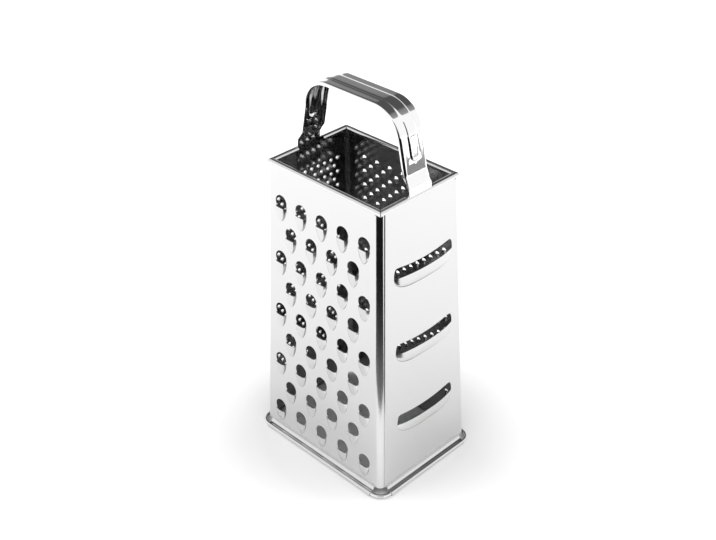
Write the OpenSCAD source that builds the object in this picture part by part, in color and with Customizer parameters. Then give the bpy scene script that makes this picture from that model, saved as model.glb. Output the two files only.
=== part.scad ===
// Four-sided box grater folded from stainless sheet, millimetres.
// Z is up and the base rests on z = 0. The coarse face looks along -Y,
// the slicing face along +X, the fine face along +Y, the rasp face along -X.

/* [Body] */
// Width of the rim across the coarse face, outside
rim_width = 88; // [82:0.5:96]
// Depth of the rim across the slicing face, outside
rim_depth = 62; // [58:0.5:70]
// Height of the rim above the table
body_height = 189; // [182:0.5:200]
// Inward lean of every wall, degrees
wall_lean = 2.1; // [1.4:0.05:2.8]
// Thickness of the wall sheet
wall_sheet = 0.5; // [0.4:0.05:0.6]
// Outside radius of the upright corners
corner_radius = 3.6; // [3:0.1:4.2]
// Width of the tongue lapped behind the next wall
lap_width = 3.4; // [2.4:0.1:3.6]

/* [Rim] */
// Outside diameter of the rim's inward roll
rim_roll = 3.6; // [3:0.1:4.2]
// Height of the rim above the corner's relief cut
rim_drop = 5.6; // [5:0.1:7]
// How far the rim is rolled round, degrees
rim_turn = 285; // [270:5:300]
// Width of the relief cuts at the corners
relief_cut = 0.35; // [0.2:0.05:0.6]

/* [Base] */
// Outside diameter of the curl round the wire
base_roll = 3.4; // [3:0.1:4]
// Outside radius of the flare above the curl
flare_radius = 2.5; // [2:0.1:3]
// How much of the curl is left open over the wire, degrees
curl_gap = 70; // [40:5:80]
// Depth pressed flat under the curl
base_flat = 0.15; // [0.05:0.05:0.25]
// Length of each corner left without a curl
corner_bare = 5.4; // [5:0.1:7]
// Clearance between the wire and its curl
wire_gap = 0.05; // [0.02:0.01:0.1]
// Radius of the wire's path round a corner
wire_bend = 7.6; // [6:0.1:7.8]
// How much thinner the wire draws out round its corners
wire_draw = 0.01; // [0.01:0.01:0.04]

/* [Coarse face] */
// Columns of scoops
coarse_columns = 9; // [5:2:9]
// Rows of scoops, odd and even columns in turn
coarse_rows = 9; // [5:2:9]
// Distance of the top row's centre below the rim
coarse_margin = 23.6; // [22:0.2:28]
// Height of the lowest row's centre
coarse_low = 20; // [19.6:0.2:24]
// Step from column to column, as a share of the wall's width
coarse_column_share = 0.0912; // [0.088:0.0002:0.0925]
// Radius of a scoop's opening
coarse_open = 4.5; // [4:0.05:4.7]
// Length of a scoop's lip
coarse_lip = 9.1; // [8:0.1:9.5]
// How far a scoop's edge stands out
coarse_rise = 2.3; // [1.6:0.05:2.6]
// Depth of the lip's axis behind the wall
coarse_axis = 2.6; // [2.2:0.05:3]

/* [Slicing face] */
// Distance of the top slot's cutting edge below the rim
slot_margin = 44.3; // [42:0.1:50]
// Height of the lowest slot's cutting edge
slot_low = 45.7; // [42:0.1:50]
// Number of slots
slot_count = 3; // [2:1:3]
// Length of a slot
slot_length = 47; // [40:0.5:48]
// Sideways offset of the slots
slot_shift = 1.2; // [0:0.1:2]
// Gap above the cutting edge at the middle
slot_gap = 4.4; // [4.3:0.05:5]
// Extra gap towards the ends
slot_sag = 1.9; // [0.5:0.1:2.5]
// Height of the pressed lip below the edge
slot_lip = 8.8; // [7:0.1:10]
// How far the cutting edge stands out
slot_rise = 2.2; // [1.4:0.05:2.6]

/* [Fine face] */
// Columns of fine scoops
fine_columns = 13; // [7:2:13]
// Rows of fine scoops
fine_rows = 31; // [11:2:31]
// Distance of the top row below the rim
fine_margin = 18.5; // [17:0.5:23]
// Height of the lowest row
fine_low = 29; // [28:0.5:34]
// Step from column to column, as a share of the wall's width
fine_column_share = 0.0575; // [0.055:0.0005:0.0585]
// Sideways offset of the pattern
fine_shift = 1.5; // [0:0.1:2]
// Radius of a fine opening
fine_open = 1.6; // [1.4:0.05:1.7]
// How much less a fine lip's diameter is at its edge than at the wall
fine_lip = 2.6; // [2.2:0.1:2.8]
// How far a fine edge stands out
fine_rise = 1.1; // [0.8:0.05:1.3]
// Radius of a fine lip at the wall
fine_foot = 2.4; // [2.2:0.05:2.5]

/* [Rasp face] */
// Burrs in a row
rasp_columns = 10; // [6:1:10]
// Rows of burrs
rasp_rows = 29; // [11:2:29]
// Distance of the top row below the rim
rasp_margin = 20; // [18:0.5:25]
// Height of the lowest row
rasp_low = 37.4; // [34:0.2:40]
// Step from burr to burr, as a share of the wall's width
rasp_column_share = 0.0815; // [0.078:0.0005:0.083]
// Radius of a burr at the wall
rasp_foot = 1.9; // [1.7:0.05:2.1]
// Radius of a burr's rim
rasp_tip = 1.5; // [1.45:0.05:1.6]
// Height of a burr
rasp_rise = 0.9; // [0.6:0.05:1.1]
// Radius of the hole through a burr
rasp_hole = 1.15; // [1:0.05:1.2]

/* [Handle] */
// Height of the strap's top above the rim
handle_rise = 46; // [40:0.5:54]
// Width of the strap
strap_width = 18.8; // [17:0.2:20]
// Thickness of the strap
strap_sheet = 0.6; // [0.5:0.05:0.8]
// Depth of the strap's turned-in edges
edge_depth = 2.2; // [1.8:0.1:3]
// Outward lean of the legs, degrees from upright
leg_splay = 11.5; // [9:0.1:13]
// Height above the rim where the legs bend away from the walls
knee_rise = 3; // [1.5:0.1:5]
// Lean of a leg's foot above that bend, degrees from upright
foot_splay = 20; // [14:0.5:24]
// Height above the rim where a leg straightens
heel_rise = 10.5; // [8:0.1:13]
// Radius of the foot's two bends
foot_radius = 6; // [4:0.5:10]
// Radius of the bends at the top
shoulder_radius = 19; // [15:0.5:21]
// Length of a leg below the rim
leg_lap = 16.6; // [14:0.2:21]
// Width of the rib
rib_width = 7.8; // [7:0.1:10]
// Height of the rib
rib_rise = 0.9; // [0.5:0.05:1]
// Height of the rib's tips above the rim
rib_tip = 16.6; // [14:0.2:20]

/* [Hidden] */
$fn = 48;
// overrun of every cut past the face it opens
overrun = 2;
// facets of a pressed corner and of a lip
corner_steps = 8;
lip_steps = 20;
lip_rows = 4;
// facets of the strap's bends
knee_steps = 3;
shoulder_steps = 14;

lean_sin = sin(wall_lean);
lean_cos = cos(wall_lean);
lean_tan = tan(wall_lean);

roll_r = base_roll / 2;
roll_z = roll_r - base_flat;
foot_z = roll_z + (flare_radius + roll_r) * lean_cos - flare_radius * lean_sin;
roll_out = flare_radius * lean_cos + (flare_radius + roll_r) * lean_sin;
relief_z = body_height - rim_drop;
// heights and steps that follow the rim
coarse_top = body_height - coarse_margin;
coarse_step = (coarse_top - coarse_low) / (coarse_rows - 1);
slot_top = body_height - slot_margin;
slot_step = (slot_top - slot_low) / (slot_count - 1);
fine_top = body_height - fine_margin;
fine_step = (fine_top - fine_low) / (fine_rows - 1);
rasp_top = body_height - rasp_margin;
rasp_step = (rasp_top - rasp_low) / (rasp_rows - 1);
handle_top = body_height + handle_rise;
knee_height = body_height + knee_rise;
heel_height = body_height + heel_rise;
lap_bottom = body_height - leg_lap;
// thickness of a leaning wall measured level
level_sheet = wall_sheet / lean_cos;
rim_r = rim_roll / 2;
rim_y = (body_height - rim_r - foot_z + rim_r * lean_sin) / lean_cos;
wire_r = roll_r - wall_sheet - wire_gap;
// how far a bend's ends are sunk in the straight runs
wire_sink = sqrt(wire_bend * wire_draw);

// half the outside width and depth of the body at a height
function half_w(z) = rim_width / 2 + (body_height - z) * lean_tan;
function half_d(z) = rim_depth / 2 + (body_height - z) * lean_tan;

// sides are numbered 0 coarse, 1 slicing, 2 fine, 3 rasp
function half_of(side, z) = side % 2 == 0 ? half_w(z) : half_d(z);
function out_of(side, z) = side % 2 == 0 ? half_d(z) : half_w(z);
// height along a leaning wall, measured from its foot
function along(z) = (z - foot_z) / lean_cos;

// upright frame of a side: x to the right seen from outside, -y outward
module at_side(side) {
    rotate([0, 0, 90 * side])
        children();
}

// leaning frame of a side: x right, y up the wall, z outward
module on_face(side) {
    at_side(side)
        translate([0, -out_of(side, foot_z), foot_z])
            rotate([90 - wall_lean, 0, 0])
                children();
}

// a profile drawn as (outward, up) run along a wall
module along_wall(length) {
    rotate([0, -90, 0])
        linear_extrude(length, center = true)
            children();
}

// one level of a wall's skin, a depth inside its outer face, from its left
// edge round its bent right-hand end to the tip of the tongue
function wall_line(side, z, depth) =
    let (cx = half_of(side, z) - level_sheet - corner_radius,
         cy = corner_radius - out_of(side, z),
         radius = corner_radius - depth)
    concat(
        [[corner_radius - half_of(side, z), cy - radius, z]],
        [for (i = [0 : corner_steps])
            let (a = -90 + 90 * i / corner_steps)
            [cx + radius * cos(a), cy + radius * sin(a), z]],
        [[cx + radius, cy + lap_width, z]]
    );

// flat wall with one bent corner and its lapped tongue
module wall_blank(side) {
    low = wall_line(side, foot_z, 0);
    n = len(low);
    at_side(side)
        polyhedron(
            points = concat(
                low,
                wall_line(side, relief_z, 0),
                wall_line(side, relief_z, level_sheet),
                wall_line(side, foot_z, level_sheet)
            ),
            faces = concat(
                [for (i = [0 : n - 2]) for (k = [0 : 3])
                    [k * n + i, (k + 1) % 4 * n + i, (k + 1) % 4 * n + i + 1, k * n + i + 1]],
                [[0, 3 * n, 2 * n, n]],
                [[n - 1, 2 * n - 1, 3 * n - 1, 4 * n - 1]]
            )
        );
}

// ring with the span between two angles left open
module open_ring(outer, inner, from, to) {
    difference() {
        circle(outer);
        circle(inner);
        polygon([
            [0, 0],
            [2 * outer * cos(from), 2 * outer * sin(from)],
            [2 * outer * cos((from + to) / 2), 2 * outer * sin((from + to) / 2)],
            [2 * outer * cos(to), 2 * outer * sin(to)]
        ]);
    }
}

// inward roll along the top edge
module rim_profile() {
    translate([-wall_sheet, along(relief_z) - overrun])
        square([wall_sheet, rim_y - along(relief_z) + overrun]);
    translate([-rim_r, rim_y])
        open_ring(rim_r, rim_r - wall_sheet, rim_turn, 360);
}

// flare and curl along the bottom edge
module base_profile() {
    translate([-wall_sheet, 0])
        square([wall_sheet, overrun]);
    translate([flare_radius, 0])
        intersection() {
            difference() {
                circle(flare_radius + wall_sheet);
                circle(flare_radius);
            }
            translate([-2 * flare_radius, -2 * flare_radius])
                square([2 * flare_radius, 2 * flare_radius]);
        }
    translate([flare_radius, -flare_radius - roll_r])
        open_ring(roll_r, roll_r - wall_sheet, 90, 90 + curl_gap);
}

// mitred length that the rim keeps at its two ends
module rim_room(side) {
    lean_room = out_of(side, relief_z) + overrun;
    deep = out_of(side, body_height) - 3 * rim_roll;
    extra = half_of(side, relief_z) - out_of(side, relief_z) - relief_cut;
    at_side(side)
        translate([0, 0, relief_z - 2 * overrun])
            linear_extrude(rim_drop + 3 * overrun)
                polygon([
                    [-deep - extra, -deep],
                    [deep + extra, -deep],
                    [lean_room + extra, -lean_room],
                    [-lean_room - extra, -lean_room]
                ]);
}

// corner blocks cleared beside the rim below the relief cut
module rim_relief(side) {
    near = half_of(side, relief_z);
    at_side(side)
        for (end = [-1, 1])
            translate([
                end > 0 ? near - level_sheet - corner_radius : -near - overrun,
                -out_of(side, relief_z) - overrun,
                relief_z - 2 * overrun
            ])
                cube([
                    end > 0 ? corner_radius + level_sheet + overrun : corner_radius + overrun,
                    corner_radius + 3 * overrun,
                    2 * overrun
                ]);
}

module rim_edge(side) {
    difference() {
        intersection() {
            on_face(side)
                along_wall(2 * half_of(side, foot_z))
                    rim_profile();
            rim_room(side);
        }
        rim_relief(side);
    }
}

// slit that parts a bent corner from the rim above it
module corner_slit(side) {
    at_side(side)
        translate([
            half_of(side, relief_z) - level_sheet - corner_radius,
            -out_of(side, relief_z) - overrun,
            relief_z - relief_cut
        ])
            cube([
                corner_radius + wall_sheet + overrun,
                corner_radius + lap_width + 2 * overrun,
                relief_cut + overrun
            ]);
}

module base_edge(side) {
    difference() {
        on_face(side)
            along_wall(2 * (half_of(side, foot_z) - corner_bare))
                base_profile();
        at_side(side)
            translate([
                -half_of(side, foot_z),
                -out_of(side, foot_z) - 3 * base_roll,
                -base_roll
            ])
                cube([2 * half_of(side, foot_z), 5 * base_roll, base_roll]);
    }
}

// room that a handle leg needs through the rim's roll
module leg_notch(side) {
    on_face(side)
        translate([
            -strap_width / 2 - relief_cut,
            rim_y - rim_roll,
            -wall_sheet - rim_roll - overrun
        ])
            cube([
                strap_width + 2 * relief_cut,
                2 * rim_roll + overrun,
                rim_roll + overrun
            ]);
}

// one wall with its corner, rim and base edge, before piercing
module plain_panel(side) {
    difference() {
        wall_blank(side);
        corner_slit(side);
    }
    difference() {
        rim_edge(side);
        if (side % 2 == 1)
            leg_notch(side);
    }
    base_edge(side);
}

// cone lying up the wall, grown from the lip's foot to its edge
module lip_cone(length, rise, axis, sheet, past) {
    slope = rise / length;
    lead = axis / 3;
    translate([0, -length - lead, -axis])
        rotate([-90, 0, 0])
            cylinder(
                h = length + lead + past,
                r1 = axis - sheet - lead * slope,
                r2 = axis - sheet + (length + past) * slope
            );
}

// opening above a lip's edge
module lip_opening(radius, drop) {
    intersection() {
        translate([0, radius - drop, -2 * overrun])
            cylinder(h = 4 * overrun, r = radius);
        translate([-2 * radius, 0, -3 * overrun])
            cube([4 * radius, 4 * radius, 6 * overrun]);
    }
}

// thin slab that keeps lips from reaching inside the wall
module lip_slab(side) {
    on_face(side)
        translate([-half_of(side, foot_z), 0, -wall_sheet])
            cube([2 * half_of(side, foot_z), along(relief_z), 3 * overrun]);
}

// places of the coarse scoops' cutting edges
module coarse_places() {
    middle = (coarse_columns - 1) / 2;
    for (row = [0 : coarse_rows - 1])
        for (column = [row % 2 : 2 : coarse_columns - 1])
            translate([
                (column - middle) * coarse_column_share
                    * 2 * half_w(coarse_top - row * coarse_step),
                along(coarse_top - row * coarse_step) - 0.6 * coarse_open,
                0
            ])
                children();
}

module coarse_panel() {
    color("#d4d6d8")
        difference() {
            union() {
                plain_panel(0);
                intersection() {
                    on_face(0)
                        coarse_places()
                            lip_cone(coarse_lip, coarse_rise, coarse_axis, 0, 0);
                    lip_slab(0);
                }
            }
            on_face(0)
                coarse_places() {
                    lip_cone(coarse_lip, coarse_rise, coarse_axis, wall_sheet, wall_sheet);
                    lip_opening(coarse_open, 0.4 * coarse_open);
                }
        }
}

// height of a slot's lip over the wall, 0 along its outline
function lip_swell(s, t) =
    sqrt(1 - pow(abs(s), 3)) * sin(90 * pow(t, 0.8));
// lower outline of a slot's lip, as a share of its height
function lip_outline(s) = sqrt(1 - pow(abs(s), 4));

// pressed lip of a slot, as a solid down to a base plane
module slot_swell(lift, base) {
    half = slot_length / 2;
    grid = [
        for (i = [0 : lip_steps])
            for (j = [0 : lip_rows])
                let (s = sin(90 * (2 * i / lip_steps - 1)), t = j / lip_rows)
                [half * s,
                 -slot_lip * lip_outline(s) * (1 - t),
                 (slot_rise + wall_sheet / 2) * lip_swell(s, t) - wall_sheet / 2 + lift]
    ];
    count = len(grid);
    wide = lip_rows + 1;
    // first and last columns have no height, so they are one point each
    inner = [for (i = [1 : lip_steps - 1]) for (j = [0 : lip_rows]) grid[i * wide + j]];
    cells = lip_steps - 2;
    size = (lip_steps - 1) * wide;
    tips = [grid[0], grid[count - 1]];
    top = concat(inner, tips);
    under = [for (p = top) [p[0], p[1], base]];
    left = size;
    right = size + 1;
    total = size + 2;
    foot = concat([left], [for (i = [0 : cells]) i * wide], [right]);
    polyhedron(
        points = concat(top, under),
        faces = concat(
            [for (i = [0 : cells - 1]) for (j = [0 : lip_rows - 1])
                [i * wide + j, i * wide + j + 1, (i + 1) * wide + j]],
            [for (i = [0 : cells - 1]) for (j = [0 : lip_rows - 1])
                [i * wide + j + 1, (i + 1) * wide + j + 1, (i + 1) * wide + j]],
            [for (j = [0 : lip_rows - 1]) [left, j + 1, j]],
            [for (j = [0 : lip_rows - 1])
                [right, cells * wide + j, cells * wide + j + 1]],
            [for (k = [1 : len(foot) - 1])
                [foot[k - 1], foot[k], total + foot[k], total + foot[k - 1]]],
            [concat(
                [total + left, total + right, right],
                [for (i = [cells : -1 : 0]) i * wide + lip_rows],
                [left]
            )],
            [[for (a = foot) total + a]]
        )
    );
}

// outline of a slot's opening above its edge
module slot_opening() {
    half = slot_length / 2;
    steps = 2 * lip_steps;
    translate([0, 0, -2 * overrun])
        linear_extrude(5 * overrun)
            polygon(concat(
                [[half, 0], [-half, 0]],
                [for (i = [1 : steps - 1])
                    let (s = sin(90 * (2 * i / steps - 1)))
                    [half * s, (slot_gap + slot_sag * s * s) * sqrt(1 - pow(abs(s), 8))]]
            ));
}

module slot_places() {
    for (i = [0 : slot_count - 1])
        translate([slot_shift, along(slot_top - i * slot_step), 0])
            children();
}

module slicer_panel() {
    color("#dcdee0")
        difference() {
            union() {
                plain_panel(1);
                on_face(1)
                    slot_places()
                        slot_swell(0, -wall_sheet);
            }
            on_face(1)
                slot_places() {
                    slot_swell(-wall_sheet, -wall_sheet - overrun);
                    slot_opening();
                }
        }
}

// blunt cone pressed out below a fine opening
module fine_swell(low, high, sheet) {
    slope = fine_lip / 2 / fine_rise;
    translate([0, -fine_lip / 4, low])
        cylinder(
            h = high - low,
            r1 = fine_foot - sheet - (low + sheet) * slope,
            r2 = fine_foot - sheet - (high + sheet) * slope
        );
}

module fine_places() {
    middle = (fine_columns - 1) / 2;
    for (row = [0 : fine_rows - 1])
        for (column = [row % 2 : 2 : fine_columns - 1])
            translate([
                (column - middle) * fine_column_share
                    * 2 * half_w(fine_top - row * fine_step) - fine_shift,
                along(fine_top - row * fine_step),
                0
            ])
                children();
}

module fine_panel() {
    color("#cfd1d4")
        difference() {
            union() {
                plain_panel(2);
                on_face(2)
                    fine_places()
                        fine_swell(-wall_sheet / 2, fine_rise, 0);
            }
            on_face(2)
                fine_places() {
                    fine_swell(-wall_sheet - overrun, fine_rise - wall_sheet, wall_sheet);
                    lip_opening(fine_open, 0.4 * fine_open);
                }
        }
}

module rasp_places() {
    for (row = [0 : rasp_rows - 1])
        for (column = [0 : rasp_columns - 1 - row % 2])
            translate([
                (column - (rasp_columns - 1 - row % 2) / 2) * rasp_column_share
                    * 2 * half_d(rasp_top - row * rasp_step),
                along(rasp_top - row * rasp_step),
                0
            ])
                children();
}

module rasp_panel() {
    color("#c9ccd0")
        difference() {
            union() {
                plain_panel(3);
                on_face(3)
                    rasp_places()
                        translate([0, 0, -wall_sheet / 2])
                            cylinder(h = rasp_rise + wall_sheet / 2, r1 = rasp_foot, r2 = rasp_tip);
            }
            on_face(3)
                rasp_places()
                    translate([0, 0, -overrun])
                        cylinder(h = 2 * overrun + rasp_rise, r = rasp_hole);
        }
}

// closed wire frame inside the curls, bare round the corners
module base_wire() {
    reach_x = half_w(foot_z) + roll_out;
    reach_y = half_d(foot_z) + roll_out;
    color("#b9bcc0")
        translate([0, 0, roll_z])
            for (side = [0 : 3])
                rotate([0, 0, 90 * side]) {
                    x = side % 2 == 0 ? reach_x : reach_y;
                    y = side % 2 == 0 ? reach_y : reach_x;
                    translate([wire_bend - x - wire_sink, -y, 0])
                        rotate([0, 90, 0])
                            cylinder(h = 2 * (x - wire_bend + wire_sink), r = wire_r);
                    translate([x - wire_bend, wire_bend - y, 0])
                        rotate([0, 0, -90])
                            rotate_extrude(angle = 90)
                                translate([wire_bend, 0])
                                    circle(wire_r - wire_draw);
                }
}

// the strap's outer line leaves the wall's inner plane at the knee and
// straightens at the heel
knee = [half_w(knee_height) - level_sheet, knee_height];
heel = [knee[0] - (heel_rise - knee_rise) * tan(foot_splay), heel_height];
knee_run = foot_radius * tan((foot_splay - wall_lean) / 2);
heel_run = foot_radius * tan((foot_splay - leg_splay) / 2);
knee_low = knee + knee_run * [lean_sin, -lean_cos];
heel_low = heel + heel_run * [sin(foot_splay), -cos(foot_splay)];
turn = 90 - leg_splay;
shoulder_x = heel[0] - (handle_top - heel_height) * tan(leg_splay)
    - shoulder_radius * tan(turn / 2);
shoulder_z = handle_top - shoulder_radius;
lap_run = (knee_low[1] - lap_bottom) / lean_cos;

// half of the strap's line at a distance outside its outer face
function half_line(d) = concat(
    [knee_low + lap_run * [lean_sin, -lean_cos] + d * [lean_cos, lean_sin]],
    [for (i = [0 : knee_steps])
        let (a = wall_lean + (foot_splay - wall_lean) * i / knee_steps)
        knee_low - foot_radius * [lean_cos, lean_sin]
            + (foot_radius + d) * [cos(a), sin(a)]],
    [for (i = [0 : knee_steps])
        let (a = foot_splay + (leg_splay - foot_splay) * i / knee_steps)
        heel_low + foot_radius * [cos(foot_splay), sin(foot_splay)]
            - (foot_radius - d) * [cos(a), sin(a)]],
    [for (i = [0 : shoulder_steps])
        let (a = leg_splay + turn * i / shoulder_steps)
        [shoulder_x + (shoulder_radius + d) * cos(a),
         shoulder_z + (shoulder_radius + d) * sin(a)]]
);
function full_line(d) =
    let (half = half_line(d), last = len(half) - 1)
    concat(half, [for (i = [0 : last]) [-half[last - i][0], half[last - i][1]]]);

// band of the strap between two distances, over a span across it
module strap_band(inner, outer, low, high) {
    inside = full_line(inner);
    last = len(inside) - 1;
    translate([0, high, 0])
        rotate([90, 0, 0])
            linear_extrude(high - low)
                polygon(concat(
                    full_line(outer),
                    [for (i = [0 : last]) inside[last - i]]
                ));
}

// frame of a stretch of both legs: x outward, y across, z up along it
module leg_frame(foot, splay) {
    for (end = [0, 1])
        mirror([end, 0, 0])
            translate([foot[0], 0, foot[1]])
                rotate([0, -splay, 0])
                    children();
}

// blocks that trim the turned-in edges towards the knee
module edge_taper() {
    leg_frame(knee, foot_splay)
        rotate([90, 0, 0])
            linear_extrude(strap_width + 2 * overrun, center = true)
                polygon([
                    [-strap_sheet / 2, -2 * lap_run],
                    [-strap_sheet / 2, 0],
                    [-edge_depth - overrun, 2 * (edge_depth + overrun)],
                    [-edge_depth - 3 * overrun, -2 * lap_run]
                ]);
}

// blocks that end a rib in a round tip
module rib_stop(half) {
    centre = (rib_tip - heel_rise) / cos(leg_splay) + rib_width / 2 + relief_cut;
    leg_frame(heel, leg_splay)
        difference() {
            translate([-3 * overrun, -rib_width, -2 * lap_run])
                cube([5 * overrun, 2 * rib_width, 2 * lap_run + centre]);
            translate([-4 * overrun, 0, centre])
                rotate([0, 90, 0])
                    cylinder(h = 8 * overrun, r = half + relief_cut);
        }
}

module handle() {
    color("#c4c6c9")
        difference() {
            union() {
                strap_band(-strap_sheet, 0, -strap_width / 2, strap_width / 2);
                difference() {
                    for (end = [-1, 1]) {
                        rim = end * strap_width / 2;
                        strap_band(
                            -edge_depth, 0,
                            min(rim, rim - end * strap_sheet),
                            max(rim, rim - end * strap_sheet)
                        );
                    }
                    edge_taper();
                }
                difference() {
                    strap_band(-strap_sheet / 2, rib_rise, -rib_width / 2, rib_width / 2);
                    rib_stop(rib_width / 2);
                }
            }
            difference() {
                strap_band(
                    -strap_sheet - overrun / 4, rib_rise - strap_sheet,
                    strap_sheet - rib_width / 2, rib_width / 2 - strap_sheet
                );
                rib_stop(rib_width / 2 - strap_sheet);
            }
        }
}

coarse_panel();
slicer_panel();
fine_panel();
rasp_panel();
base_wire();
handle();
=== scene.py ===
import math

import bmesh
import bpy
from mathutils import Matrix, Vector


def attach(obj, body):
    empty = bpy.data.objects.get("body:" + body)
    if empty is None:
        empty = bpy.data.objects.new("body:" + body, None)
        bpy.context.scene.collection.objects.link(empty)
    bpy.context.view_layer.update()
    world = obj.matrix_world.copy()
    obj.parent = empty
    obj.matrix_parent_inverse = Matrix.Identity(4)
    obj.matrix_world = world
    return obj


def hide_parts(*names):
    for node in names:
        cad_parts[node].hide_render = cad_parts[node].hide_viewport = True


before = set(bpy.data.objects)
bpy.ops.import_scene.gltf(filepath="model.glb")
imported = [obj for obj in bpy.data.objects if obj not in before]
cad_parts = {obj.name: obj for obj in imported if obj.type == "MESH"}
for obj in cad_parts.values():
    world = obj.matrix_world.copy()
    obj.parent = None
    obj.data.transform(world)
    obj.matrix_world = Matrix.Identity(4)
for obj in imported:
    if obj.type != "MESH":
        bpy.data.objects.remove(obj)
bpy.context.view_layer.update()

# camera
# The photograph's view: a short telephoto lens from the front right corner,
# looking down at about a third of a right angle.
mm = 0.001
camera_turn = math.radians(45.40)
camera_tilt = math.radians(32.83)
camera_roll = math.radians(-0.72)
camera_reach = 681.7 * mm
camera_aim = Vector((-2.1, -2.2, 120.3)) * mm
photo_width, focal_pixels = 716, 1172.8
sensor_width = 36

camera_data = bpy.data.cameras.new("camera")
camera = bpy.data.objects.new("camera", camera_data)
bpy.context.collection.objects.link(camera)
toward = Vector((
    -math.sin(camera_turn) * math.cos(camera_tilt),
    math.cos(camera_turn) * math.cos(camera_tilt),
    -math.sin(camera_tilt),
))
level_way = toward.cross(Vector((0, 0, 1))).normalized()
steep_way = level_way.cross(toward)
side_way = math.cos(camera_roll) * level_way + math.sin(camera_roll) * steep_way
up_way = -math.sin(camera_roll) * level_way + math.cos(camera_roll) * steep_way
camera.matrix_world = Matrix.Translation(camera_aim - camera_reach * toward) @ Matrix(
    (side_way, up_way, -toward)).transposed().to_4x4()
camera_data.sensor_width = sensor_width
camera_data.lens = focal_pixels / photo_width * sensor_width
camera_data.clip_start = 10 * mm
bpy.context.scene.camera = camera
bpy.context.scene.view_settings.view_transform = "Standard"

# studio
# White table with soft lamps on both sides, bright walls low down and a dark
# ceiling, which the polished sheet mirrors as in the photograph.
shade_reach = 4.0  # metres from the object to the end of a row of shades
sky_shades = ((0, 1.1), (0.68, 1.1), (0.72, 0.34), (0.82, 0.25), (0.88, 0.09), (1, 0.09))
sky_tip = (math.radians(26.6), math.radians(17.4), 0)
table_size = 8.0
table_paint = (0.9, 0.9, 0.9, 1)
# painted shadow: the table's glow is nil near the object and grows with distance from it
table_glow_painted_shadow = ((0.016, 0), (0.026, 0.2), (0.045, 0.3), (0.09, 0.36), (0.3, 0.6), (0.5, 0.85))
lamp_places = (("key_left", (-0.95, -0.55, 0.9)), ("key_right", (0.65, 0.95, 0.95)))
lamp_size, lamp_power = 1.6, 11
lamp_aim = Vector((0, 0, 0.1))
card_height, card_steps = 0.001, 12
dark_shades = ((0.038, 0.25), (0.06, 0.06), (0.08, 0.01))
flag_size, flag_place = 1.4, (1.3, -1.3, 0.7)


def look(name):
    """New material with its nodes and links."""
    material = bpy.data.materials.new(name)
    material.use_nodes = True
    return material, material.node_tree.nodes, material.node_tree.links


def ramp(nodes, stops):
    """Colour ramp of grey shades."""
    node = nodes.new("ShaderNodeValToRGB")
    ends = node.color_ramp.elements
    while len(ends) < len(stops):
        ends.new(0.5)
    for end, (place, value) in zip(ends, stops):
        end.position = place
        end.color = (value, value, value, 1)
    return node


def distance_ramp(nodes, links, stops):
    """Shades that change with the distance from the object."""
    spot = nodes.new("ShaderNodeTexCoord")
    size = nodes.new("ShaderNodeMapping")
    size.inputs["Scale"].default_value = [1 / shade_reach] * 3
    far = nodes.new("ShaderNodeVectorMath")
    far.operation = "LENGTH"
    shade = ramp(nodes, stops)
    links.new(spot.outputs["Object"], size.inputs["Vector"])
    links.new(size.outputs[0], far.inputs[0])
    links.new(far.outputs["Value"], shade.inputs[0])
    return shade


world = bpy.data.worlds.new("studio")
bpy.context.scene.world = world
world.use_nodes = True
nodes, links = world.node_tree.nodes, world.node_tree.links
spot = nodes.new("ShaderNodeTexCoord")
split = nodes.new("ShaderNodeSeparateXYZ")
tip = nodes.new("ShaderNodeMapping")
tip.inputs["Rotation"].default_value = sky_tip
fade = ramp(nodes, sky_shades)
links.new(spot.outputs["Generated"], tip.inputs["Vector"])
links.new(tip.outputs[0], split.inputs[0])
links.new(split.outputs["Z"], fade.inputs[0])
links.new(fade.outputs[0], nodes["Background"].inputs["Color"])

# the table, whose far part glows where the lamps no longer reach; the glow is nil close to
# the object and grows outward, a painted shadow round its base that the steel mirrors too
bpy.ops.object.select_all(action="DESELECT")
bpy.ops.mesh.primitive_plane_add(size=table_size)
floor = bpy.context.object
floor.name = "floor"
paper, nodes, links = look("floor_paper")
diffuse = nodes.new("ShaderNodeBsdfDiffuse")
diffuse.inputs["Color"].default_value = table_paint
glow = nodes.new("ShaderNodeEmission")
ray = nodes.new("ShaderNodeLightPath")
seen = nodes.new("ShaderNodeMath")
seen_anywhere = nodes.new("ShaderNodeMath")
links.new(ray.outputs["Is Camera Ray"], seen.inputs[0])
links.new(ray.outputs["Is Glossy Ray"], seen.inputs[1])
links.new(seen.outputs[0], seen_anywhere.inputs[0])
links.new(ray.outputs["Is Transmission Ray"], seen_anywhere.inputs[1])
links.new(seen_anywhere.outputs[0], glow.inputs["Strength"])
# the glow's colour grows with distance from the object, which paints a shadow round the base
links.new(distance_ramp(nodes, links, table_glow_painted_shadow).outputs[0], glow.inputs["Color"])
both = nodes.new("ShaderNodeAddShader")
links.new(diffuse.outputs[0], both.inputs[0])
links.new(glow.outputs[0], both.inputs[1])
links.new(both.outputs[0], nodes["Material Output"].inputs["Surface"])
floor.data.materials.append(paper)

for name, place in lamp_places:
    lamp_data = bpy.data.lights.new(name, "AREA")
    lamp_data.size = lamp_size
    lamp_data.energy = lamp_power
    lamp = bpy.data.objects.new(name, lamp_data)
    lamp.location = place
    lamp.rotation_euler = (lamp_aim - Vector(place)).to_track_quat("-Z", "Y").to_euler()
    lamp.visible_glossy = False
    bpy.context.collection.objects.link(lamp)


def mirror_only(screen):
    """Stage piece that shows in the polished steel and nowhere else."""
    screen.visible_camera = screen.visible_diffuse = screen.visible_shadow = False


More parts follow.
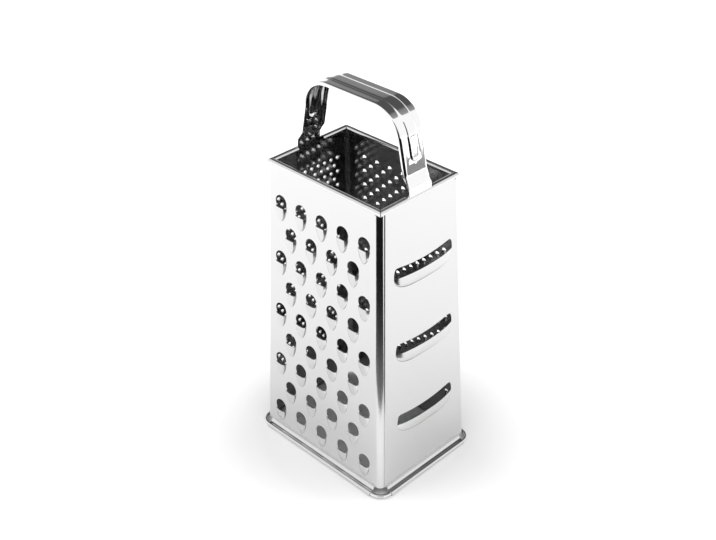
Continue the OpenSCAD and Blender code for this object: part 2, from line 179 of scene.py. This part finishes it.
def card(name, near, far, start, end, stops):
    """Shaded card on the table, part of a ring from one angle to another."""
    mesh = bmesh.new()
    spokes = []
    for i in range(card_steps + 1):
        a = math.radians(start + (end - start) * i / card_steps)
        spokes.append([mesh.verts.new((r * math.cos(a), r * math.sin(a), card_height))
                       for r in (near, far)])
    for one, two in zip(spokes, spokes[1:]):
        mesh.faces.new((one[0], one[1], two[1], two[0]))
    data = bpy.data.meshes.new(name)
    mesh.to_mesh(data)
    mesh.free()
    screen = bpy.data.objects.new(name, data)
    bpy.context.collection.objects.link(screen)
    material, nodes, links = look(name)
    tone = nodes.new("ShaderNodeEmission")
    links.new(distance_ramp(nodes, links, stops).outputs[0], tone.inputs["Color"])
    links.new(tone.outputs[0], nodes["Material Output"].inputs["Surface"])
    data.materials.append(material)
    mirror_only(screen)
    return material


dark_paper = card("dark_card", near=0.15, far=1.8, start=-100, end=8, stops=dark_shades)
bpy.ops.object.select_all(action="DESELECT")
bpy.ops.mesh.primitive_plane_add(size=flag_size, location=flag_place,
                                 rotation=(math.pi / 2, 0, math.pi / 4))
flag = bpy.context.object
flag.name = "dark_flag"
flag.data.materials.append(dark_paper)
mirror_only(flag)
card("grey_card", near=0.95, far=1.13, start=28, end=54, stops=((0.1, 0.28), (0.3, 0.28)))
card("far_card", near=1.62, far=1.85, start=28, end=54, stops=((0.1, 0.3), (0.5, 0.3)))

# steel
# Stainless sheet with a fine satin grain along the rolling direction. Faces turned toward the
# object's middle get a darker colour, a painted shade for the dim inside.
cloud_scale, cloud_gain = 60, 0.08
outer_from = 0.004  # metres from the middle to a face's plane, past which it takes the bright outside colour; nearer faces take the painted inside shade

sheet_look = bpy.data.node_groups.new("rolled_sheet", "ShaderNodeTree")
for way, name, kind in (("INPUT", "Stretch", "Vector"), ("INPUT", "Depth", "Float"),
                        ("INPUT", "Base", "Float"), ("OUTPUT", "Roughness", "Float"),
                        ("OUTPUT", "Height", "Float"), ("OUTPUT", "Outward", "Float")):
    sheet_look.interface.new_socket(name, in_out=way, socket_type="NodeSocket" + kind)
nodes, links = sheet_look.nodes, sheet_look.links
enter = nodes.new("NodeGroupInput")
leave = nodes.new("NodeGroupOutput")
spot = nodes.new("ShaderNodeTexCoord")
spread = nodes.new("ShaderNodeVectorMath")
spread.operation = "MULTIPLY"
links.new(spot.outputs["Object"], spread.inputs[0])
links.new(enter.outputs["Stretch"], spread.inputs[1])
lines = nodes.new("ShaderNodeTexNoise")
lines.inputs["Scale"].default_value = 1
lines.inputs["Detail"].default_value = 3
links.new(spread.outputs[0], lines.inputs["Vector"])
deep = nodes.new("ShaderNodeMath")
deep.operation = "MULTIPLY"
links.new(lines.outputs["Fac"], deep.inputs[0])
links.new(enter.outputs["Depth"], deep.inputs[1])
links.new(deep.outputs[0], leave.inputs["Height"])
cloud = nodes.new("ShaderNodeTexNoise")
cloud.inputs["Scale"].default_value = cloud_scale
cloud.inputs["Detail"].default_value = 2
links.new(spot.outputs["Object"], cloud.inputs["Vector"])
vary = nodes.new("ShaderNodeMath")
vary.operation = "MULTIPLY_ADD"
vary.inputs[1].default_value = cloud_gain
links.new(cloud.outputs["Fac"], vary.inputs[0])
links.new(enter.outputs["Base"], vary.inputs[2])
links.new(vary.outputs[0], leave.inputs["Roughness"])
# how far a face's plane lies from the middle: the mask of the painted inside shade
facing = nodes.new("ShaderNodeVectorMath")
facing.operation = "DOT_PRODUCT"
links.new(spot.outputs["Object"], facing.inputs[0])
links.new(spot.outputs["Normal"], facing.inputs[1])
links.new(facing.outputs["Value"], leave.inputs["Outward"])


def steel(name, painted_inside_shade, bright, rough, stretch, depth):
    """Steel that is lighter outside and darker, a painted shade, on the side facing the
    object's middle.
    """
    material, nodes, links = look(name)
    shader = nodes["Principled BSDF"]
    shader.inputs["Metallic"].default_value = 1
    surface = nodes.new("ShaderNodeGroup")
    surface.node_tree = sheet_look
    surface.inputs["Stretch"].default_value = stretch
    surface.inputs["Depth"].default_value = depth
    surface.inputs["Base"].default_value = rough
    # painted shade: faces turned toward the middle get the darker colour
    tone = ramp(nodes, ((0, painted_inside_shade), (outer_from, bright)))
    links.new(surface.outputs["Outward"], tone.inputs[0])
    links.new(tone.outputs[0], shader.inputs["Base Color"])
    links.new(surface.outputs["Roughness"], shader.inputs["Roughness"])
    bump = nodes.new("ShaderNodeBump")
    bump.inputs["Strength"].default_value = 0.25
    bump.inputs["Distance"].default_value = 0.1 * mm
    links.new(surface.outputs["Height"], bump.inputs["Height"])
    links.new(bump.outputs["Normal"], shader.inputs["Normal"])
    return material


# painted shade: the walls' inner faces are coloured darker than their outer faces
wall_steel = steel("wall_steel", painted_inside_shade=0.36, bright=0.66, rough=0.1,
                   stretch=(300, 300, 6000), depth=0.4)

# walls
# Four pressed walls of half-millimetre sheet. Each is a flat plate with its
# rolled rim, its base curled over a wire, and its right end bent round the
# corner to lap behind the next wall.
rim_width, rim_depth, body_height = 88, 62, 189
lean = math.radians(2.1)
sheet_thick = 0.5
lip_thick = 0.8 * sheet_thick  # the press stretches a lip thinner
corner_radius, lap_width, corner_steps = 3.6, 3.4, 16
rim_r, rim_drop, slit, rim_turn = 1.8, 2.6, 0.35, 285
roll_r, roll_end, foot_press = 1.7, -200, 0.15
flare_r, corner_bare, flare_steps = 2.5, 5.4, 10
roll_steps = 30
back_lift = 1  # the back corner's tongue closes the gap below its rims
strap_width, strap_room = 18.8, 0.4
notch_points = 8  # points of the rim's outline that stay where a leg of the handle stands
seam = 0.05  # flat strip that a bent edge carries beside the plate
weld = 0.001  # points that are closer than this are one
punch_reach = 2
wall_smooth = math.radians(32)
roll_z = roll_r - foot_press
foot_z = roll_z + (flare_r + roll_r) * math.cos(lean) - flare_r * math.sin(lean)
relief_z = body_height - rim_drop
rim_y = (body_height - rim_r - foot_z + rim_r * math.sin(lean)) / math.cos(lean)


def half_of(side, z):
    """Half the width of a wall at a height."""
    return (rim_depth if side % 2 else rim_width) / 2 + (body_height - z) * math.tan(lean)


def out_of(side, z):
    """Distance of a wall from the middle at a height."""
    return half_of(side + 1, z)


def along(z):
    """A height, measured up the leaning wall from its foot."""
    return (z - foot_z) / math.cos(lean)


def side_frame(side):
    return Matrix.Rotation(math.radians(90 * side), 4, "Z")


def face_frame(side):
    """A wall's own axes: x along it, y up it and z out of it."""
    return (side_frame(side)
            @ Matrix.Translation((0, -out_of(side, foot_z), foot_z))
            @ Matrix.Rotation(math.pi / 2 - lean, 4, "X"))


def new_piece(name, work, place=Matrix.Identity(4)):
    """Piece from a mesh drawn in millimetres."""
    mesh = bpy.data.meshes.new(name)
    work.transform(Matrix.Scale(mm, 4) @ place)
    work.to_mesh(mesh)
    work.free()
    piece = bpy.data.objects.new(name, mesh)
    bpy.context.collection.objects.link(piece)
    return piece


def rows_to_skin(work, rows, place=Matrix.Identity(4)):
    """A skin of quads over rows of points, facing left of the rows' order."""
    grid = [[work.verts.new(place @ Vector(p)) for p in row] for row in rows]
    for low, high in zip(grid, grid[1:]):
        for a, b, d, e in zip(low, low[1:], high[1:], high):
            work.faces.new((a, b, d, e))


def finish_with(piece, kind, **settings):
    """Apply a modifier of this kind."""
    bpy.ops.object.select_all(action="DESELECT")
    bpy.context.view_layer.objects.active = piece
    piece.select_set(True)
    step = piece.modifiers.new(kind.lower(), kind)
    for key, value in settings.items():
        setattr(step, key, value)
    bpy.ops.object.modifier_apply(modifier=step.name)


def thicken(piece, thick):
    finish_with(piece, "SOLIDIFY", thickness=thick * mm, offset=-1.0)


def arc(cx, cy, r, start, end, steps):
    turns = [math.radians(start + (end - start) * i / steps) for i in range(steps + 1)]
    return [(cx + r * math.cos(a), cy + r * math.sin(a)) for a in turns]


def wall_plate(side, outline, places):
    """Flat plate of a wall with a hole of this outline punched at each place."""
    bpy.ops.object.select_all(action="DESELECT")
    bpy.ops.mesh.primitive_cube_add(size=1)
    plate = bpy.context.object
    high = along(relief_z)
    for v in plate.data.vertices:
        z = relief_z if v.co.y > 0 else foot_z
        u = (half_of(side, z) - sheet_thick - corner_radius - seam if v.co.x > 0
             else corner_radius - half_of(side, z))
        v.co = (u, high if v.co.y > 0 else seam, 0 if v.co.z > 0 else -sheet_thick)
    work = bmesh.new()
    for x, y in places:
        below, above = [[work.verts.new((x + u, y + v, z)) for u, v in outline]
                        for z in (-punch_reach, punch_reach)]
        work.faces.new(below[::-1])
        work.faces.new(above)
        for i in range(len(outline)):
            j = (i + 1) % len(outline)
            work.faces.new((below[i], below[j], above[j], above[i]))
    plate.data.transform(Matrix.Scale(mm, 4))
    punch = new_piece("punch", work)
    finish_with(plate, "BOOLEAN", object=punch, operation="DIFFERENCE", solver="EXACT")
    bpy.data.objects.remove(punch)
    plate.data.transform(Matrix.Scale(mm, 4) @ face_frame(side) @ Matrix.Scale(1 / mm, 4))
    return plate


def bent_corner(side):
    """Round corner at a wall's right end, with the tongue that laps the next wall."""
    rows = []
    for z in (foot_z, relief_z + (back_lift if side == 2 else -slit)):
        cx = half_of(side, z) - sheet_thick - corner_radius
        cy = corner_radius - out_of(side, z)
        bend = arc(cx, cy, corner_radius, -90, 0, corner_steps)
        far_x = bend[-1][0]
        rows.append([(cx - seam, bend[0][1], z)] + [(x, y, z) for x, y in bend]
                    + [(far_x, cy + seam, z), (far_x, cy + lap_width, z)])
    work = bmesh.new()
    rows_to_skin(work, rows, side_frame(side))
    return new_piece("corner", work)


def rolled_rim(side, notched):
    """Rim rolled inward, mitred at both ends, cut away where a handle's leg stands."""
    spare = half_of(side, foot_z) - out_of(side, foot_z)

    def mitre(y, z):
        return (out_of(side, foot_z) + z * math.cos(lean) - y * math.sin(lean)
                + spare - slit)

    roll = [(z, y) for z, y in arc(-rim_r, rim_y, rim_r, 0, rim_turn, roll_steps)]
    profile = [(0, along(relief_z)), (0, rim_y - seam)] + roll
    gap = strap_width / 2 + strap_room
    work = bmesh.new()
    for end in (-1, 1):
        inner = gap if notched else 0
        points = [(end * mitre(y, z), y, z) for z, y in profile]
        middle = [(end * inner, y, z) for z, y in profile]
        rows_to_skin(work, [middle, points] if end < 0 else [points, middle])
    if notched:
        keep = profile[:notch_points]
        rows_to_skin(work, [[(x, y, z) for z, y in keep] for x in (gap, -gap)])
        bmesh.ops.remove_doubles(work, verts=work.verts, dist=weld)
    return new_piece("rim", work, face_frame(side))


def base_curl(side):
    """Foot of a wall, flared outward and curled over the wire."""
    flare = arc(flare_r, 0, flare_r, 180, 270, flare_steps)
    curl = arc(flare_r, -flare_r - roll_r, roll_r, 90, roll_end, roll_steps)
    profile = [(0, seam)] + flare + curl[1:]
    reach = half_of(side, foot_z) - corner_bare
    work = bmesh.new()
    rows_to_skin(work, [[(reach * end, y, z) for z, y in profile] for end in (-1, 1)])
    return new_piece("curl", work, face_frame(side))


def make_wall(name, node, side, plate, extras):
    """A wall joined from its plate, its bent edges and what is pressed out of it."""
    edges = [bent_corner(side), rolled_rim(side, side % 2 == 1), base_curl(side)]
    for edge in edges:
        thicken(edge, sheet_thick)
    bpy.ops.object.select_all(action="DESELECT")
    for part in [plate] + edges + extras:
        part.select_set(True)
    bpy.context.view_layer.objects.active = plate
    bpy.ops.object.join()
    plate.name = name
    for v in plate.data.vertices:  # the curl is pressed flat on the table
        v.co.z = max(v.co.z, 0)
    bpy.ops.object.shade_smooth_by_angle(angle=wall_smooth)
    plate.data.materials.clear()
    plate.data.materials.append(wall_steel)
    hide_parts(node)
    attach(plate, "root")


# coarse face
# Forty-odd large scoops in staggered columns, pressed outward with their
# edges up.
scoop_start, scoop_spread, scoop_slope, scoop_crown = 0.004, 0.62, 0.9, 6
coarse_rows, coarse_columns, coarse_share = 9, 9, 0.0912
coarse_top_z, coarse_step_z, coarse_drop = 165.4, 18.175, 2.7


def across(i, columns):
    """Share of the half width at a column, closer together toward both ends."""
    return math.sin(math.pi / 2 * (2 * i / columns - 1))


def scoop(length, rise, half_width, rows, columns):
    """A scoop's lip, a pressed tongue from its foot to its raised edge."""
    lip = []
    for j in range(rows + 1):
        t = scoop_start + (1 - scoop_start) * (j / rows) ** 1.5
        w = half_width * math.sin(math.pi / 2 * t ** scoop_slope) ** scoop_spread
        h = rise * t ** scoop_slope
        shares = [across(i, columns) for i in range(columns + 1)]
        lip.append([(w * k, -length * (1 - t), h * (1 - abs(k) ** scoop_crown) ** scoop_slope)
                    for k in shares])
    return lip


def hole_of(lip, radius, drop, steps):
    """Outline of a hole: up the right of the lip, round the top, down the left."""
    right = [(row[-1][0], row[-1][1]) for row in lip]
    left = [(row[0][0], row[0][1]) for row in reversed(lip)]
    low = math.degrees(math.asin((drop - radius) / radius))
    return right + arc(0, radius - drop, radius, low, 180 - low, steps) + left


def lips(side, name, lip, places):
    """The same lip at each place of a wall."""
    work = bmesh.new()
    for x, y in places:
        rows_to_skin(work, lip, face_frame(side) @ Matrix.Translation((x, y, 0)))
    piece = new_piece(name, work)
    thicken(piece, lip_thick)
    return piece


def staggered(side, rows, columns, share, top_z, step_z, shift=(0, 0)):
    """Places of a pattern that fans out with its wall, every other row set over."""
    places = []
    for row in range(rows):
        z = top_z - row * step_z
        for column in range(row % 2, columns, 2):
            x = (column - (columns - 1) / 2) * share * 2 * half_of(side, z)
            places.append((x + shift[0], along(z) + shift[1]))
    return places


coarse_lip = scoop(length=9.1, rise=1.7, half_width=4.15, rows=12, columns=20)
coarse_hole = hole_of(coarse_lip, radius=4.5, drop=1.8, steps=24)
coarse_places = staggered(0, coarse_rows, coarse_columns, coarse_share,
                          coarse_top_z, coarse_step_z, (0, -coarse_drop))
make_wall("coarse_face", "coarse_panel", 0, wall_plate(0, coarse_hole, coarse_places),
          [lips(0, "scoops", coarse_lip, coarse_places)])

# slicing face
# Three long slots, each with a straight edge standing out over a pressed lip.
slot_half, slot_deep, slot_rise = 23.5, 8.8, 3.4
slot_high, slot_sag = 3.9, 2.8
slot_top_z, slot_step_z, slot_shift = 144.7, 49.5, 1.2
slot_rows, slot_columns = 10, 40
slot_start, slot_ends = 0.001, 0.998


def swell(k, t):
    """How far a slot's lip stands out, as a share of its full rise."""
    return max(0, 1 - k * k) ** 0.7 * math.sin(math.pi / 2 * t ** 0.4)


slot_lip = []
for j in range(slot_rows + 1):
    t = slot_start + (1 - slot_start) * (j / slot_rows) ** 2
    shares = [slot_ends * across(i, slot_columns) for i in range(slot_columns + 1)]
    slot_lip.append([(slot_half * k, -slot_deep * math.sqrt(1 - k ** 4) * (1 - t),
                      slot_rise * swell(k, t)) for k in shares])
slot_hole = [(p[0], p[1]) for p in slot_lip[0]] + [(slot_lip[-1][-1][0], 0)]
for i in range(slot_columns - 1, 0, -1):
    k = across(i, slot_columns)
    slot_hole.append((slot_half * k, (slot_high + slot_sag * k * k) * math.sqrt(1 - k ** 24)))
slot_hole += [(slot_lip[-1][0][0], 0)]
slot_places = [(slot_shift, along(slot_top_z - slot_step_z * i)) for i in range(3)]
make_wall("slicing_face", "slicer_panel", 1, wall_plate(1, slot_hole, slot_places),
          [lips(1, "slot_lips", slot_lip, slot_places)])

# fine face
# Some two hundred small scoops of the same form.
fine_rows, fine_columns, fine_share = 31, 13, 0.0575
fine_top_z, fine_step_z, fine_shift = 170.5, 4.717, -1.5
fine_lip = scoop(length=2.7, rise=1.1, half_width=1.5, rows=4, columns=8)
fine_hole = hole_of(fine_lip, radius=1.6, drop=0.64, steps=10)
fine_places = staggered(2, fine_rows, fine_columns, fine_share,
                        fine_top_z, fine_step_z, (fine_shift, 0))
make_wall("fine_face", "fine_panel", 2, wall_plate(2, fine_hole, fine_places),
          [lips(2, "fine_scoops", fine_lip, fine_places)])

# rasp face
# Small holes pierced from inside, each with a ragged rim standing outward.
burr_r, burr_corners, burr_ragged = 1.9, 10, 0.18
burr_outline = ((burr_r, 0), (1.62, 0.35), (1.45, 0.9), (1.15, 0.8), (1.3, -sheet_thick),
                (burr_r, -sheet_thick))
rasp_rows, rasp_columns, rasp_share = 29, 19, 0.04075
rasp_top_z, rasp_step_z = 169, 4.7
rasp_places = staggered(3, rasp_rows, rasp_columns, rasp_share, rasp_top_z, rasp_step_z)
burr_turns = [2 * math.pi * i / burr_corners for i in range(burr_corners + 1)]
burr = []
for r, z in burr_outline:
    ragged = burr_ragged if z > sheet_thick else 0
    burr.append([(r * math.cos(a), r * math.sin(a), z + ragged * (i % 2))
                 for i, a in enumerate(burr_turns)])
work = bmesh.new()
for x, y in rasp_places:
    rows_to_skin(work, burr, face_frame(3) @ Matrix.Translation((x, y, 0)))
bmesh.ops.remove_doubles(work, verts=work.verts, dist=weld)
rasp_hole = [(burr_r * math.cos(a), burr_r * math.sin(a)) for a in burr_turns[:-1]]
make_wall("rasp_face", "rasp_panel", 3, wall_plate(3, rasp_hole, rasp_places),
          [new_piece("burrs", work)])

# base wire
# One closed frame of drawn wire, bare where it rounds the corners.
wire_r, wire_bend, wire_steps = 1.15, 7.6, 10
bow_smooth = math.radians(40)
reach_x, reach_y = [
    half_of(side, foot_z) + flare_r * math.cos(lean) + (flare_r + roll_r) * math.sin(lean)
    for side in (0, 1)]
path = []
for turn, (sx, sy) in enumerate(((1, -1), (1, 1), (-1, 1), (-1, -1))):
    path += arc(sx * (reach_x - wire_bend), sy * (reach_y - wire_bend), wire_bend,
                90 * turn - 90, 90 * turn, wire_steps)
line = bpy.data.curves.new("base_frame", "CURVE")
line.dimensions = "3D"
spline = line.splines.new("POLY")
spline.points.add(len(path) - 1)
for point, (x, y) in zip(spline.points, path):
    point.co = (x * mm, y * mm, roll_z * mm, 1)
spline.use_cyclic_u = True
line.bevel_depth = wire_r * mm
line.bevel_resolution = 6
base_frame = bpy.data.objects.new("base_frame", line)
bpy.context.collection.objects.link(base_frame)
bpy.ops.object.select_all(action="DESELECT")
base_frame.select_set(True)
bpy.context.view_layer.objects.active = base_frame
bpy.ops.object.convert(target="MESH")
bpy.ops.object.shade_smooth_by_angle(angle=bow_smooth)
# painted shade: the wire's faces toward the middle are coloured darker
wire_steel = steel("wire_steel", painted_inside_shade=0.7, bright=0.78, rough=0.12,
                   stretch=(900, 900, 900), depth=0.2)
base_frame.data.materials.append(wire_steel)
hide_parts("base_wire")
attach(base_frame, "root")

# handle
# One strap of thicker sheet bent to a square bow, its edges turned in and a
# rib raised along its middle. Its legs are welded inside the narrow walls.
handle_top, strap_thick = 235, 0.6
splay, foot_splay = math.radians(11.5), math.radians(20)
knee_z, heel_z, foot_r, lap_z = 192, 199.5, 6, 172.4
shoulder_r, shoulder_steps, leg_steps = 19, 24, 24
# what the strap's section is on top and what a leg adds to it, over a short way
half_top, half_leg = strap_width / 2, -0.75
turn_top, turn_leg = 0.9, 0.6
edge_top, edge_leg = 1.9, 0.3
rise_top, rise_leg = 0.6, 0.3
rib_top, rib_leg = 4.4, -0.6
leg_below, leg_way = 4, 14
rib_end_z, rib_ramp, rib_round = 205.6, 1.2, 4
edge_fade = 5  # the turned-in edge flattens out over this height above the knee
knee_x = half_of(0, knee_z) - sheet_thick / math.cos(lean)
heel_x = knee_x - (heel_z - knee_z) * math.tan(foot_splay)
shoulder_x = (heel_x - (handle_top - heel_z) * math.tan(splay)
              - shoulder_r * math.tan((math.pi / 2 - splay) / 2))


def bend_down(x, z, top, low, radius, steps):
    """Places and slopes down a bend whose straight runs meet at x, z."""
    run = abs(radius) * math.tan(abs(top - low) / 2)
    x, z = x + run * math.sin(low), z - run * math.cos(low)
    slopes = [top + (low - top) * i / steps for i in range(steps + 1)]
    return [(x + radius * (math.cos(a) - math.cos(low)),
             z + radius * (math.sin(a) - math.sin(low)), a) for a in slopes]


# stations down the strap's outer line: place and slope
stations = [(0, handle_top, math.pi / 2), (shoulder_x * 0.5, handle_top, math.pi / 2)]
for i in range(shoulder_steps + 1):
    a = math.pi / 2 - (math.pi / 2 - splay) * i / shoulder_steps
    stations.append((shoulder_x + shoulder_r * math.cos(a),
                     handle_top - shoulder_r + shoulder_r * math.sin(a), a))
heel = bend_down(heel_x, heel_z, splay, foot_splay, -foot_r, 4)
knee = bend_down(knee_x, knee_z, foot_splay, lean, foot_r, 6)
leg_x, leg_z, a = stations[-1]
for i in range(1, leg_steps):
    stations.append((leg_x + (heel[0][0] - leg_x) * i / leg_steps,
                     leg_z + (heel[0][1] - leg_z) * i / leg_steps, splay))
stations += heel + knee
lap_run = (knee[-1][1] - lap_z) / math.cos(lean)
stations.append((knee[-1][0] + lap_run * math.sin(lean), lap_z, lean))
rib_line = [(0, 1), (0.28, 1), (0.54, 1), (0.68, 0.93), (0.77, 0.7), (0.84, 0.35),
            (0.92, 0.08), (1, 0)]


def share(value):
    return min(1, max(0, value))


def strap_row(x, z, a):
    """Points across the strap at a station, from one turned-in edge to the other."""
    leg = share((handle_top - leg_below - z) / leg_way)
    half_strap, turn_r = half_top + half_leg * leg, turn_top + turn_leg * leg
    rib = (rise_top + rise_leg * leg) * share((z - rib_end_z) / rib_ramp + 0.001)
    round_end = min(1, max(0.02, (z - rib_end_z) / rib_round))
    wide = (rib_top + rib_leg * leg) * math.sqrt(1 - (1 - round_end) ** 2)
    edge = share((z - knee_z) / edge_fade)
    half = [(y * wide, h * rib) for y, h in rib_line]
    half += [(rib_top + (half_strap - rib_top - turn_r) * k, 0) for k in (0.35, 0.7)]
    bent = arc(half_strap - turn_r, -turn_r, turn_r, 90, 0, 5)
    bent += [(half_strap, -edge_top - edge_leg * leg)]
    for i, (y, d) in enumerate(bent):
        flat = half_strap - turn_r + turn_r * i / 6
        half.append((flat + (y - flat) * edge, d * edge))
    full = [(-y, d) for y, d in reversed(half)] + half[1:]
    return [(x + d * math.cos(a), y, z + d * math.sin(a)) for y, d in full]


rows = [strap_row(*place) for place in stations]
rows = [[(-x, y, z) for x, y, z in row] for row in reversed(rows[1:])] + rows
work = bmesh.new()
rows_to_skin(work, [row[::-1] for row in rows])
handle = new_piece("strap_handle", work)
thicken(handle, strap_thick)
bpy.ops.object.shade_smooth_by_angle(angle=bow_smooth)
# painted shade: the strap's faces toward the middle are coloured darker
handle_steel = steel("handle_steel", painted_inside_shade=0.5, bright=0.86, rough=0.02,
                     stretch=(60, 1500, 60), depth=0.1)
handle.data.materials.append(handle_steel)
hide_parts("handle")
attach(handle, "root")
